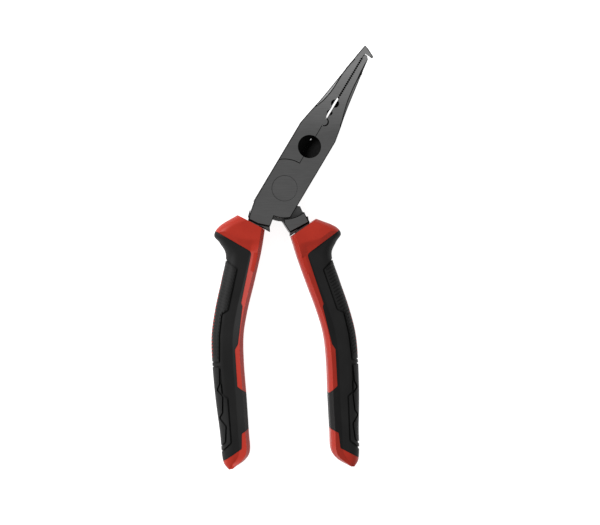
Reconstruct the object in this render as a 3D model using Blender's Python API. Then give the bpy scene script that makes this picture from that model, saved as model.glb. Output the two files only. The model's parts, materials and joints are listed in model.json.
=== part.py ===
"""Bent long-nose pliers with a split-ring hook, modelled piece by piece.

The tool lies on its back with its jaws closed. X is across the handles, Y runs from the handle ends to the
tip, and Z runs through the thickness. Lengths in this file are millimetres; meshes are made in metres.

Three flat frames, all in the plane of the tool, are used for the outlines:
  pivot frame    x, y from the pivot
  head frame     s along the jaws and n to their left, from the pivot, turned by HEAD_TURN
  handle frame   a down the handles and b outwards from their middle line, turned by HANDLE_TURN
"""

import math

import bmesh
import bpy
from mathutils import Vector

MM = 0.001
FIT = 0.3  # gap between two pieces that touch on the real tool

# Lap joint and head
HEAD_TURN = math.radians(30.8)
HEAD_HALF_WIDTH = 9.7
HEAD_THICKNESS = 9.6
TIP_THICKNESS = 3.8
TAPER_START = 32.0  # where the nose starts to get thinner
TIP_REACH = 80.4  # pivot to the point of the hook
SPLIT_GAP = 0.3
SPLIT_LEAN = -0.2  # how far the split moves across for each millimetre up, so that light can't pass
HOOK_LEAN = -0.12  # the same along the jaws, below the hook
HOOK_LEAN_FROM = 75.0
UPRIGHT = {1: (40.18, 51.8), -1: (39.8, 52.15)}  # by jaw, so that the steps to leaning keep their gap
NOSE_EDGE = ((39.0, 8.45), (47.8, 6.75), (60.0, 4.95), (75.0, 2.85))  # half widths along the nose
FLANK_DEPTH = 0.9  # step down to the ground flank on each side of the nose
FLANK_STEP = 0.5  # how wide that step is
FLANK_FALL = 0.3  # how much the flank falls for each millimetre outwards
LEFT_FLANK = ((38.0, 9.2), (41.0, 7.5), (45.6, 5.7), (50.0, 4.7), (54.5, 4.2), (62.4, 4.05), (67.0, 3.9), (71.5, 3.0))
RIGHT_FLANK = ((38.0, 9.2), (41.0, 7.6), (44.8, 6.3), (49.0, 5.2), (53.0, 4.3), (60.9, 3.3), (68.0, 3.1), (73.0, 2.9))
PLATE_RADIUS = 14.0  # upper edge of each lap plate
FRONT_PLATE_FOOT = 14.5  # lower edge of the front plate
REAR_PLATE_FOOT = 16.0  # lower edge of the rear plate, which shows below the front one
SHOULDER_GAP = 0.4
REAR_SHANK_FROM = 210  # degrees round from the jaws to where the rear lever's shank starts
RIVET_RADIUS = 4.0
RIVET_HEAD_RADIUS = 6.1
RIVET_HEAD_DEPTH = 2.1
RIVET_CLEARANCE = 0.2

# Cutter and jaws
WELL_AT = 23.6
WELL_RADIUS = 5.65
WELL_FLOOR = -1.6  # height of the cutting edges
BLADE_LAND = 1.6
BLADE_BEVEL_WIDTH = 3.6
SLIT_AT = 27.7
SLIT_RADIUS = 0.7
BUMP_AT = 37.7
BUMP_RADIUS = 1.75
BUMP_HOLLOW_RADIUS = 2.15
RELIEF_START = 40.6
RELIEF_END = 51.6
RELIEF_GAP = 1.0
DIES = ((42.9, 1.4), (48.1, 2.0))  # centre along the jaws and radius of each crimping die
DIE_FLOOR = -0.8
TEETH_START = 52.3
TOOTH_PITCH = 1.1
TOOTH_COUNT = 20
TOOTH_DEPTH = 0.42
HOOK_THICKNESS = 3.4  # along the jaws, at its root
HOOK_REACH = 4.3  # how far it crosses the other jaw

# Handles
HANDLE_TURN = math.radians(3.43)
HANDLE_ORIGIN = (-4.5, 0.2)
HANDLE_SPREAD = 0.35  # added to every b
RIGHT_HANDLE_DROP = 2.7
FLANGE_LIFT = {-1: 0.7, 1: -0.6}  # how much higher the top of the left and of the right flange is than drawn
FLANGE_LIFT_SHARE = {0: 1.0, 1: 0.5}  # by rib
FACET_WIDTH = 1.9
FACET_HEIGHT = 3.4
OUTER_ROUND = 5.5
CORE_INSET = 2.9
PAD_THICKNESS = 1.2
POCKET_WALL = 1.2
FLANGE_HALF = 8.4
WAIST_HALF = 7.6
PALM_HALF = 8.4

ARC_STEP = math.radians(7.5)
LAP_STEPS = 10
LEFT, RIGHT = -1, 1

# Each rib of a handle: where it meets the inner edge, where it meets the outer edge, and half its thickness.
RIBS = (
    ((20.7, 6.0), (12.8, 18.8), FLANGE_HALF),
    ((22.4, 6.4), (17.0, 27.4), FLANGE_HALF),
    ((25.4, 7.1), (21.2, 30.5), FLANGE_HALF),
    ((28.5, 7.8), (25.2, 27.9), (FLANGE_HALF + WAIST_HALF) / 2),
    ((33.5, 9.1), (31.5, 25.4), WAIST_HALF),
    ((45.0, 12.5), (43.0, 28.2), WAIST_HALF),
    ((58.0, 16.5), (56.5, 32.0), WAIST_HALF),
    ((70.0, 19.2), (69.5, 34.6), (WAIST_HALF + PALM_HALF) / 2),
    ((83.0, 19.9), (83.0, 35.1), PALM_HALF),
    ((100.0, 19.6), (100.0, 34.6), PALM_HALF),
    ((117.0, 19.5), (117.0, 33.4), PALM_HALF),
    ((126.0, 19.5), (127.0, 33.1), PALM_HALF - 0.4),
    ((130.5, 22.0), (132.0, 32.4), PALM_HALF - 1.4),
    ((134.3, 27.5), (135.0, 30.2), PALM_HALF - 2.9),
)
CORE_FIRST_RIB, CORE_LAST_RIB = 1, 11
FLOOR_FIRST_RIB, FLOOR_LAST_RIB = 1, 12
TANG_FIRST_RIB, TANG_LAST_RIB = 4, 9

# Outlines on a handle: a, b and corner radius. Each one runs out past the handle's edge on its open sides.
OUTSIDE = 46.0
INSIDE = 12.0
OVERMOULD_OUTLINE = (
    (15.8, 35.2, 0), (30.4, 13.1, 2.2), (54.7, 19.6, 0.6), (56.2, 19.1, 0.6), (74.4, 22.4, 0.8),
    (77.0, 24.0, 0.8), (94.9, 23.9, 0.8), (99.9, 17.5, 0), (99.9, INSIDE, 0), (112.6, INSIDE, 0),
    (112.6, 15.0, 0), (117.6, 23.1, 0.8), (125.0, 23.6, 1.0), (134.0, 38.1, 0), (134.0, OUTSIDE, 0),
    (15.8, OUTSIDE, 0),
)
GRIP_PAD_OUTLINE = (
    (28.5, 30.2, 0), (38.1, 20.1, 1.0), (58.0, 25.7, 1.0), (59.8, 28.8, 1.0), (70.0, 30.6, 0),
    (83.0, 31.4, 0.5), (83.0, OUTSIDE, 0), (40.0, OUTSIDE, 0),
)
FINGER_PAD_OUTLINE = (
    (84.4, OUTSIDE, 0), (84.4, 31.4, 0.5), (97.8, 30.9, 0.8), (100.0, 28.4, 0.8), (122.0, 28.0, 2.0),
    (129.5, 36.3, 0), (129.5, OUTSIDE, 0),
)


# ---------------------------------------------------------------- flat geometry

def from_head(s, n):
    """Head frame to pivot frame."""
    return Vector((
        s * math.sin(HEAD_TURN) - n * math.cos(HEAD_TURN),
        s * math.cos(HEAD_TURN) + n * math.sin(HEAD_TURN),
    ))


def from_handle(side, a, b):
    """Handle frame to pivot frame. The right handle sits a little further down than the left one."""
    down = a + (RIGHT_HANDLE_DROP if side == RIGHT else 0)
    out = side * (b + HANDLE_SPREAD)
    return Vector((
        HANDLE_ORIGIN[0] + down * math.sin(HANDLE_TURN) + out * math.cos(HANDLE_TURN),
        HANDLE_ORIGIN[1] - down * math.cos(HANDLE_TURN) + out * math.sin(HANDLE_TURN),
    ))


def arc(radius, start, end, centre=(0, 0)):
    """Points on an arc, from the angle start to the angle end."""
    steps = max(2, math.ceil(abs(end - start) / ARC_STEP))
    turns = [start + (end - start) * i / steps for i in range(steps + 1)]
    return [Vector((centre[0] + radius * math.cos(t), centre[1] + radius * math.sin(t))) for t in turns]


def rounded(outline):
    """A closed outline of (a, b, radius) corners, with each corner that has a radius turned into an arc."""
    points = []
    for i, (a, b, radius) in enumerate(outline):
        corner = Vector((a, b))
        if radius == 0:
            points.append(corner)
            continue
        before = (Vector(outline[i - 1][:2]) - corner).normalized()
        after = (Vector(outline[(i + 1) % len(outline)][:2]) - corner).normalized()
        half = before.angle(after) / 2
        reach = radius / math.tan(half)
        centre = corner + (before + after).normalized() * radius / math.sin(half)
        first = corner + before * reach - centre
        last = corner + after * reach - centre
        start = math.atan2(first.y, first.x)
        sweep = (math.atan2(last.y, last.x) - start + math.pi) % (2 * math.pi) - math.pi
        points += arc(radius, start, start + sweep, centre)
    return points


def area(points):
    """Signed area of a closed outline, positive when it runs anticlockwise."""
    pairs = zip(points, points[1:] + points[:1])
    return sum(p.x * q.y - p.y * q.x for p, q in pairs) / 2


def grown(points, distance):
    """A closed outline moved outwards by distance, or inwards when it is negative."""
    turn = 1 if area(points) > 0 else -1
    moved = []
    for i, point in enumerate(points):
        before = (point - points[i - 1]).normalized()
        after = (points[(i + 1) % len(points)] - point).normalized()
        first = Vector((before.y, -before.x)) * turn
        second = Vector((after.y, -after.x)) * turn
        moved.append(point + (first + second) * distance / (1 + first.dot(second)))
    return moved


def smooth(points, steps):
    """A Catmull-Rom curve through points, with steps stretches between each two of them."""
    ends = [points[0] * 2 - points[1]] + list(points) + [points[-1] * 2 - points[-2]]
    curve = []
    for p, q, r, t in zip(ends, ends[1:], ends[2:], ends[3:]):
        for i in range(steps):
            u = i / steps
            curve.append(
                (q * 2 + (r - p) * u + (p * 2 - q * 5 + r * 4 - t) * u**2 + (q * 3 - p - r * 3 + t) * u**3) / 2
            )
    return curve + [points[-1].copy()]


# ---------------------------------------------------------------- solids

def mesh_object(name, points, faces, home):
    """A closed mesh whose points are in millimetres from the pivot, carried by the empty home."""
    mesh = bpy.data.meshes.new(name)
    mesh.from_pydata([Vector(p) * MM for p in points], [], faces)
    shape = bmesh.new()
    shape.from_mesh(mesh)
    bmesh.ops.recalc_face_normals(shape, faces=shape.faces)
    shape.to_mesh(mesh)
    shape.free()
    made = bpy.data.objects.new(name, mesh)
    bpy.context.scene.collection.objects.link(made)
    made.parent = home
    return made


def between_rings(name, rings, home):
    """A solid skinned over rings that all have the same number of points, and closed at both ends."""
    count = len(rings[0])
    faces = [list(range(count)), list(range(len(rings) * count - count, len(rings) * count))]
    for ring in range(len(rings) - 1):
        for i in range(count):
            j = (i + 1) % count
            faces.append([ring * count + i, ring * count + j, ring * count + count + j, ring * count + count + i])
    return mesh_object(name, [p for ring in rings for p in ring], faces, home)


def prism(name, outline, low, high, home):
    """An outline in the pivot frame, extruded from the height low to the height high."""
    return between_rings(name, [[(p.x, p.y, z) for p in outline] for z in (low, high)], home)


def turned(name, profile, home, at=(0, 0)):
    """A solid of revolution about Z, from (radius, height) pairs."""
    return between_rings(
        name, [[(p.x, p.y, z) for p in arc(radius, 0, 2 * math.pi, at)[:-1]] for radius, z in profile], home
    )


def hide(cutter):
    cutter.hide_render = True
    cutter.display_type = "WIRE"


def shape_with(target, operation, tool):
    """Adds a Boolean to target. The tool is a helper and isn't a piece."""
    hide(tool)
    step = target.modifiers.new(f"{operation.lower()}_{tool.name}", "BOOLEAN")
    step.operation = operation
    step.object = tool


def finish_piece(piece, material):
    piece.data.materials.append(material)
    piece.data.shade_smooth()
    piece.data.set_sharp_from_angle(angle=math.radians(30))


def make_material(name, colour, metallic, roughness):
    material = bpy.data.materials.new(name)
    material.use_nodes = True
    shader = material.node_tree.nodes["Principled BSDF"]
    shader.inputs["Base Color"].default_value = (*colour, 1)
    shader.inputs["Metallic"].default_value = metallic
    shader.inputs["Roughness"].default_value = roughness
    return material


# ---------------------------------------------------------------- steel levers

def nose_edge(side):
    """The outer edge of one jaw, from the head to just below the tip, in the head frame."""
    half_widths = ((TAPER_START, HEAD_HALF_WIDTH),) + NOSE_EDGE
    return [from_head(p.x, p.y) for p in smooth([Vector((s, side * w)) for s, w in half_widths], 3)]


def lean(s, height, jaw):
    """How far the split is from the middle line, which it meets at the front face. It is upright at the dies."""
    start, end = UPRIGHT[jaw]
    upright = start < s < end
    return 0.0 if upright else SPLIT_LEAN * (height - nose_height(s))


def leaning(points, height, jaw):
    """Head-frame points moved across by the lean of the split at that height, and along it below the hook."""
    moved = []
    for s, n in points:
        along = HOOK_LEAN * (height - nose_height(s)) if s > HOOK_LEAN_FROM else 0.0
        moved.append(from_head(s + along, n + lean(s, height, jaw)))
    return moved


def jaw_face(side, height):
    """The inner edge of one jaw, from the plate to the tip: side is 1 for the left jaw and -1 for the right."""
    land = side * SPLIT_GAP / 2
    relief = side * RELIEF_GAP / 2
    points = []
    if side < 0:
        points += [(SLIT_AT + p.x, land + p.y) for p in arc(SLIT_RADIUS, math.pi, 2 * math.pi)]
    bulge = BUMP_RADIUS if side > 0 else BUMP_HOLLOW_RADIUS
    points += [(BUMP_AT + p.x, land + p.y) for p in arc(bulge, math.pi, 2 * math.pi)]
    if side > 0:
        points.append((RELIEF_START - 0.45, land))
    points += [(RELIEF_START - 0.4, land), (RELIEF_START, relief), (RELIEF_END, relief), (RELIEF_END + 0.4, land)]
    for tooth in range(TOOTH_COUNT):
        start = TEETH_START + tooth * TOOTH_PITCH
        points += [(start, land), (start + TOOTH_PITCH * 0.4, land + side * TOOTH_DEPTH)]
        points += [(start + TOOTH_PITCH * 0.6, land + side * TOOTH_DEPTH)]
    return leaning(points, height, side)


def lap_arc(radius, start, end):
    """An arc about the pivot between two points of the pivot frame, the short way round, in LAP_STEPS steps."""
    first = math.atan2(start.y, start.x)
    sweep = (math.atan2(end.y, end.x) - first + math.pi) % (2 * math.pi) - math.pi
    turns = [first + sweep * i / LAP_STEPS for i in range(LAP_STEPS + 1)]
    return [Vector((radius * math.cos(t), radius * math.sin(t))) for t in turns]


def edge_point(radius, n, upper):
    """Where the line at n along the head meets a circle about the pivot."""
    s = math.sqrt(radius**2 - n**2)
    return from_head(s if upper else -s, n)


def front_lever_outline(height):
    """Right jaw, front plate and left shank, as they are at that height."""
    half = HEAD_HALF_WIDTH
    teeth_end = TEETH_START + TOOTH_COUNT * TOOTH_PITCH
    tip_end = TIP_REACH - HOOK_THICKNESS - FIT * 1.5
    face = jaw_face(-1, height)
    corner = edge_point(PLATE_RADIUS, lean(PLATE_RADIUS, height, -1) - SPLIT_GAP / 2, True)
    outer = [from_handle(LEFT, a, b) for a, b in ((5.1, 9.9), (8.1, 11.1), (11.7, 12.6), (14.4, 13.5))]
    end = [from_handle(LEFT, a, b) for a, b in ((16.9, 9.2), (18.5, 3.3), (13.8, 1.2))]
    land = -SPLIT_GAP / 2
    tip = ((teeth_end, land), (tip_end - 1.1, land), (tip_end, -0.7), (tip_end - 0.1, -1.7))
    outline = leaning(tip, height, -1) + nose_edge(-1)[::-1]
    outline += lap_arc(FRONT_PLATE_FOOT, edge_point(FRONT_PLATE_FOOT, -half, False), end[-1])
    outline += end[:-1][::-1]
    outline += outer[::-1]
    outline += lap_arc(PLATE_RADIUS, edge_point(PLATE_RADIUS, half, True), corner)
    return outline + face


def hook_end(height):
    """The furthest point of the hook across the jaws."""
    s = TIP_REACH - HOOK_THICKNESS + 0.6
    return from_head(s + HOOK_LEAN * (height - nose_height(s)), -HOOK_REACH - 0.2)


def rear_lever_outline(height):
    """Left jaw with its hook, rear plate and right shank, as they are at that height."""
    half = HEAD_HALF_WIDTH
    teeth_end = TEETH_START + TOOTH_COUNT * TOOTH_PITCH
    root = TIP_REACH - HOOK_THICKNESS
    face = jaw_face(1, height)
    corner = edge_point(PLATE_RADIUS, lean(PLATE_RADIUS, height, 1) + SPLIT_GAP / 2, True)
    inner = from_handle(RIGHT, 13.8, 2.2)
    outer = [from_handle(RIGHT, a, b) for a, b in ((6.4, 9.9), (6.8, 11.5), (9.3, 12.4), (9.9, 13.0))]
    end = [from_handle(RIGHT, a, b) for a, b in ((14.8, 15.0), (19.2, 5.4))]
    land = SPLIT_GAP / 2
    hook = leaning(((teeth_end, land), (root - 1.2, land), (root + 0.1, -0.6)), height, 1)
    along = HOOK_LEAN * (height - nose_height(root))
    hook += [from_head(root - 0.2 + along, 0.8 - HOOK_REACH * 0.8), from_head(root - 0.4 + along, -HOOK_REACH)]
    hook.append(hook_end(height))
    hook += [from_head(TIP_REACH, 1.7), from_head(TIP_REACH - 0.6, 2.0)]
    outline = hook + nose_edge(1)[::-1]
    outline += lap_arc(REAR_PLATE_FOOT, edge_point(REAR_PLATE_FOOT, half, False), inner)
    outline += end[::-1]
    outline += outer[::-1]
    outline += lap_arc(PLATE_RADIUS, edge_point(PLATE_RADIUS, -half, True), corner)
    return outline + face


def ribs(side):
    """The ribs of one handle: the flange's top is higher on the left handle."""
    moved = []
    for rib, (inner, outer, half) in enumerate(RIBS):
        lift = Vector((FLANGE_LIFT[side], 0)) * FLANGE_LIFT_SHARE.get(rib, 0.0)
        moved.append((Vector(inner) - lift, Vector(outer) - lift, half))
    return moved


def tang_outline(side):
    """Neck below the shank, and the tang inside the handle, which follows the handle's ribs."""
    neck_inner = 3.4 if side == LEFT else 5.6
    neck_outer = 13.2 if side == LEFT else 14.8
    neck_top = 13.0 if side == LEFT else 12.0
    flange_gap = 0.5
    inner_side = []
    outer_side = []
    for inner, outer, _ in ribs(side)[TANG_FIRST_RIB:TANG_LAST_RIB + 1]:
        across = (outer - inner).normalized()
        middle = (outer + inner) / 2
        half = (outer - inner).length / 2 - CORE_INSET - FIT - POCKET_WALL
        inner_side.append(middle - across * half)
        outer_side.append(middle + across * half)
    (flange_a, flange_b), (flange_top, flange_outer), _ = ribs(side)[0]
    slope = (flange_a - flange_top) / (flange_outer - flange_b)
    entry = flange_b + 2.2
    neck = [Vector((neck_top, neck_outer)), Vector((neck_top, neck_inner))]
    for b in (neck_inner, entry):
        neck.append(Vector((flange_a - (b - flange_b) * slope - flange_gap, b)))
    throat = Vector((flange_top + 6.0, neck_outer + 0.8))
    outline = neck + smooth(inner_side, 2) + smooth(outer_side[::-1], 2) + [throat]
    return [from_handle(side, p.x, p.y) for p in outline]


def tang_half():
    return WAIST_HALF - CORE_INSET - FIT - POCKET_WALL


def nose_height(s):
    """Half the head's thickness at s: parallel up to the nose, then thinner to the tip."""
    share = max(0.0, s - TAPER_START) / (TIP_REACH - TAPER_START)
    return (HEAD_THICKNESS + (TIP_THICKNESS - HEAD_THICKNESS) * share) / 2


def side_profile(name, home):
    """Everything that the head's thickness allows."""
    past_tip = TIP_REACH + 1.0
    profile = [(s, nose_height(s)) for s in (-40.0, TAPER_START, past_tip)]
    loop = list(profile) + [(s, -z) for s, z in profile[::-1]]
    rings = []
    for n in (-30, 30):
        rings.append([(*from_head(s, n), z) for s, z in loop])
    return between_rings(name, rings, home)


def lap_room(name, spans, low, high, home):
    """The round space that one lever leaves for the other's plate, from (radius, start, end) of each arc."""
    edge = [p for radius, start, end in spans for p in arc(radius, math.radians(start), math.radians(end))]
    return prism(name, [from_head(p.x, p.y) for p in edge], low, high, home)


def rivet_profile(clearance, overhang):
    """Half of the rivet's side view, from its back face to its front face."""
    half = HEAD_THICKNESS / 2
    head = RIVET_HEAD_RADIUS + clearance
    shank = RIVET_RADIUS + clearance
    back = [(head, -half - overhang), (head, -half), (shank, RIVET_HEAD_DEPTH - half)]
    if overhang == 0:
        back = back[1:]
    return back + [(radius, -z) for radius, z in back[::-1]]


def blade_bevel(name, home):
    """The wedge ground away behind the cutting edges."""
    reach = HEAD_THICKNESS / 2 + 1.0
    land = WELL_FLOOR - BLADE_LAND
    slope = BLADE_BEVEL_WIDTH / (HEAD_THICKNESS / 2 + land)
    wide = slope * (reach + land)
    rings = []
    for s in (WELL_AT - WELL_RADIUS, WELL_AT + WELL_RADIUS):
        rings.append([(*from_head(s, n), z) for n, z in ((-wide, -reach), (wide, -reach), (0, land))])
    return between_rings(name, rings, home)


def flank_cutter(name, line, jaw, face, home):
    """The flank ground down beside the nose on one jaw (1 left, -1 right) and one face (1 front, -1 back)."""
    reach = 4.0
    fall = FLANK_FALL * reach
    high = HEAD_THICKNESS
    rings = []
    for point in smooth([Vector(p) for p in line], 3):
        top = nose_height(point.x)
        inward = FLANK_STEP * (high - top) / FLANK_DEPTH
        floor = top - FLANK_DEPTH
        ring = ((FLANK_STEP, floor), (reach, floor - fall), (reach, high), (-inward, high))
        rings.append([(*from_head(point.x, jaw * (point.y + n)), face * z) for n, z in ring])
    return between_rings(name, rings, home)


def well_cutter(name, home):
    """A round well whose floor is two bevels that fall to the cutting edges at 45 degrees."""
    over = HEAD_THICKNESS
    well = turned(name, ((WELL_RADIUS, -over), (WELL_RADIUS, over)), home, from_head(WELL_AT, 0))
    wide = over - WELL_FLOOR
    past_wall = WELL_RADIUS + 1.0
    rings = []
    for s in (WELL_AT - past_wall, WELL_AT + past_wall):
        rings.append([(*from_head(s, n), z) for n, z in ((0, WELL_FLOOR), (wide, over), (-wide, over))])
    shape_with(well, "INTERSECT", between_rings(f"{name}_bevels", rings, home))
    return well


def make_lever(name, jaw, outline, room, flank, home, material):
    """One forged lever: its outline, thinned to the head's side profile, then lapped, bored and cut."""
    over = HEAD_THICKNESS
    side = LEFT if jaw == RIGHT else RIGHT
    heights = (-HEAD_THICKNESS / 2 - 0.2, HEAD_THICKNESS / 2 - 0.6, HEAD_THICKNESS / 2 + 0.2)
    lever = between_rings(name, [[(p.x, p.y, z) for p in outline(z)] for z in heights], home)
    shape_with(lever, "INTERSECT", side_profile(f"{name}_side_profile", home))
    for word, face in (("front", 1), ("back", -1)):
        shape_with(lever, "DIFFERENCE", flank_cutter(f"{name}_{word}_flank", flank, -jaw, face, home))
    half = tang_half()
    shape_with(lever, "UNION", prism(f"{name}_tang", tang_outline(side), -half, half, home))
    shape_with(lever, "DIFFERENCE", room)
    hole = turned(f"{name}_rivet_hole", rivet_profile(RIVET_CLEARANCE, 2.0), home)
    shape_with(lever, "DIFFERENCE", hole)
    shape_with(lever, "DIFFERENCE", well_cutter(f"{name}_well", home))
    shape_with(lever, "DIFFERENCE", blade_bevel(f"{name}_blade_bevel", home))
    for number, (s, radius) in enumerate(DIES, 1):
        die = turned(f"{name}_die_{number}", ((radius, DIE_FLOOR), (radius, over)), home, from_head(s, 0))
        shape_with(lever, "DIFFERENCE", die)
    finish_piece(lever, material)
    return lever


# ---------------------------------------------------------------- handles

def stations(side):
    """The ribs with one more between each two, on a smooth curve."""
    inner = smooth([rib[0] for rib in ribs(side)], 2)
    outer = smooth([rib[1] for rib in ribs(side)], 2)
    thickness = []
    for here, after in zip(RIBS, RIBS[1:]):
        thickness += [here[2], (here[2] + after[2]) / 2]
    return list(zip(inner, outer, thickness + [RIBS[-1][2]]))


def section(inner, outer, half_thickness, inset):
    """One ring: flat front and back, a steep facet along the inner edge, and a round outer edge."""
    across = (outer - inner).normalized()
    middle = (outer + inner) / 2
    half = (outer - inner).length / 2 - inset
    thick = half_thickness - inset
    facet = min(FACET_WIDTH, half * 0.6)
    drop = min(FACET_HEIGHT, thick * 0.6)
    radius = min(OUTER_ROUND - inset, half * 0.9, thick * 0.8)
    round_edge = arc(radius, math.pi / 2, 0, (half - radius, thick - radius))[::3]
    front = [Vector((facet - half, thick))] + round_edge
    back = [Vector((p.x, -p.y)) for p in front[::-1]]
    inner_edge = [Vector((-half, drop - thick)), Vector((-half, thick - drop))]
    return [(middle + across * p.x, p.y) for p in front + back + inner_edge]


def handle_loft(name, side, inset, home, first=0, last=len(RIBS) - 1, lengthen=0.0):
    """The handle's own shape, made smaller all round by inset, between two of its ribs."""
    chosen = stations(side)[first * 2:last * 2 + 1]
    rings = []
    for i, (inner, outer, thickness) in enumerate(chosen):
        slide = {0: -lengthen, len(chosen) - 1: lengthen}.get(i, 0.0)
        ring = section(inner, outer, thickness, inset)
        rings.append([(*from_handle(side, p.x + slide, p.y), z) for p, z in ring])
    return between_rings(name, rings, home)


def handle_prism(name, side, outline, growth, home):
    """An outline on the handle, taken right through its thickness."""
    points = grown(rounded(outline), growth)
    high = FLANGE_HALF + 4.0
    return prism(name, [from_handle(side, p.x, p.y) for p in points], -high, high, home)


def core_loft(name, side, inset, home):
    lengthen = CORE_INSET - inset
    return handle_loft(name, side, inset, home, CORE_FIRST_RIB, CORE_LAST_RIB, lengthen)


def floor_loft(name, side, inset, home):
    return handle_loft(name, side, inset, home, FLOOR_FIRST_RIB, FLOOR_LAST_RIB)


def make_core(name, side, home, material):
    """The hard core: it shows wherever the overmould leaves it bare, and holds the tang in a pocket."""
    core = handle_loft(name, side, 0.0, home)
    skin = handle_prism(f"{name}_skin_cutter", side, OVERMOULD_OUTLINE, FIT, home)
    shape_with(skin, "DIFFERENCE", core_loft(f"{name}_inner", side, CORE_INSET, home))
    shape_with(core, "DIFFERENCE", skin)
    pocket_half = tang_half() + FIT
    pocket_outline = grown(tang_outline(side), FIT)
    pocket = prism(f"{name}_tang_pocket", pocket_outline, -pocket_half, pocket_half, home)
    shape_with(core, "DIFFERENCE", pocket)
    finish_piece(core, material)


def make_overmould(name, side, home, material):
    """The soft body around the core, with a pocket for each pad."""
    body = handle_loft(name, side, 0.0, home)
    shape_with(body, "INTERSECT", handle_prism(f"{name}_region", side, OVERMOULD_OUTLINE, 0.0, home))
    shape_with(body, "DIFFERENCE", core_loft(f"{name}_hollow", side, CORE_INSET - FIT, home))
    for pad, outline in (("grip", GRIP_PAD_OUTLINE), ("finger", FINGER_PAD_OUTLINE)):
        pocket = handle_prism(f"{name}_{pad}_pocket", side, outline, 0.0, home)
        floor = floor_loft(f"{name}_{pad}_pocket_floor", side, PAD_THICKNESS + FIT, home)
        shape_with(pocket, "DIFFERENCE", floor)
        shape_with(body, "DIFFERENCE", pocket)
    finish_piece(body, material)


def make_pad(name, side, outline, home, material):
    """A pad let into the overmould, flush with it."""
    pad = handle_loft(name, side, 0.0, home)
    shape_with(pad, "INTERSECT", handle_prism(f"{name}_region", side, outline, -FIT, home))
    shape_with(pad, "DIFFERENCE", floor_loft(f"{name}_floor", side, PAD_THICKNESS, home))
    finish_piece(pad, material)


# ---------------------------------------------------------------- the whole tool

def pivot_place():
    """Where the pivot sits, so that the whole tool is centred on X and Y and rests on Z = 0."""
    points = []
    for side in (LEFT, RIGHT):
        points += [from_handle(side, p.x, p.y) for inner, outer, _ in stations(side) for p in (inner, outer)]
    points += [from_head(TIP_REACH, 1.7), hook_end(-TIP_THICKNESS / 2)]
    middle_x = (min(p.x for p in points) + max(p.x for p in points)) / 2
    middle_y = (min(p.y for p in points) + max(p.y for p in points)) / 2
    return Vector((-middle_x, -middle_y, max(rib[2] for rib in RIBS))) * MM


def make_home(name, place):
    home = bpy.data.objects.new(name, None)
    bpy.context.scene.collection.objects.link(home)
    home.location = place
    home.empty_display_size = 10 * MM
    return home


def build():
    for old in list(bpy.data.objects):
        bpy.data.objects.remove(old)
    steel = make_material("blackened_steel", (0.065, 0.065, 0.067), 0.9, 0.42)
    red = make_material("red_hard_plastic", (0.42, 0.035, 0.02), 0.0, 0.45)
    black = make_material("black_soft_plastic", (0.016, 0.017, 0.018), 0.0, 0.62)
    pad_black = make_material("black_pad_rubber", (0.02, 0.021, 0.022), 0.0, 0.75)

    place = pivot_place()
    front_half = make_home("front_half", place)
    rear_half = make_home("rear_half", place)
    over = HEAD_THICKNESS
    half_lap = SPLIT_GAP / 2
    upper = (PLATE_RADIUS + SHOULDER_GAP, -90, 90)
    rear_spans = (upper, (REAR_PLATE_FOOT + SHOULDER_GAP, 90, 270))
    front_spans = (
        upper,
        (REAR_PLATE_FOOT + SHOULDER_GAP, 90, REAR_SHANK_FROM),
        (FRONT_PLATE_FOOT + SHOULDER_GAP, REAR_SHANK_FROM, 270),
    )
    rear_room = lap_room("front_lever_lap_room", rear_spans, -over * 2, half_lap, front_half)
    front_room = lap_room("rear_lever_lap_room", front_spans, -half_lap, over * 2, rear_half)
    make_lever("front_lever", RIGHT, front_lever_outline, rear_room, RIGHT_FLANK, front_half, steel)
    make_lever("rear_lever", LEFT, rear_lever_outline, front_room, LEFT_FLANK, rear_half, steel)
    rivet = turned("pivot_rivet", rivet_profile(0.0, 0), front_half)
    finish_piece(rivet, steel)

    for word, side, home in (("left", LEFT, front_half), ("right", RIGHT, rear_half)):
        make_core(f"{word}_handle_core", side, home, red)
        make_overmould(f"{word}_overmould", side, home, black)
        make_pad(f"{word}_grip_pad", side, GRIP_PAD_OUTLINE, home, pad_black)
        make_pad(f"{word}_finger_pad", side, FINGER_PAD_OUTLINE, home, pad_black)
    print("pivot at", [round(value, 6) for value in place])


build()
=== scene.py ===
# %% [markdown]
# # Bent long-nose pliers
# A pair of pliers with a bent, hooked nose and moulded handles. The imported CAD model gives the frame: two
# bodies that turn on one rivet. This lesson puts the finished surfaces on it, one piece at a time.

# %% Load the frame
import json
import math

import bmesh
import bpy
import numpy as np
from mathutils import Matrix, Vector


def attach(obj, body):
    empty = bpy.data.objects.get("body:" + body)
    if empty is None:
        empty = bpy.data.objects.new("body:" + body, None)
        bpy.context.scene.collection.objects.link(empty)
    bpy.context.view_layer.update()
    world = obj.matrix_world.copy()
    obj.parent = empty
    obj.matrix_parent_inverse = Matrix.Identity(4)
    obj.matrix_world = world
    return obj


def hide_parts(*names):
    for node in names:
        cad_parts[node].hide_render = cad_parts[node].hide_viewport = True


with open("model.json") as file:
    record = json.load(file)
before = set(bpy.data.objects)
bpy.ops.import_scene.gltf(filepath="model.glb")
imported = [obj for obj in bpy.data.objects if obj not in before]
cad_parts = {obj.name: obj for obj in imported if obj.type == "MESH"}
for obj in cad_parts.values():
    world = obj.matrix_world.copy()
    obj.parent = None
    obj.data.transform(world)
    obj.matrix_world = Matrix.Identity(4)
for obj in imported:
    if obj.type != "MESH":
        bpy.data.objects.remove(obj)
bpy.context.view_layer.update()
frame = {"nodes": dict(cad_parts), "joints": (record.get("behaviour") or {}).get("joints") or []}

PIVOT = Vector(frame["joints"][0]["pos_m"])

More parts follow.
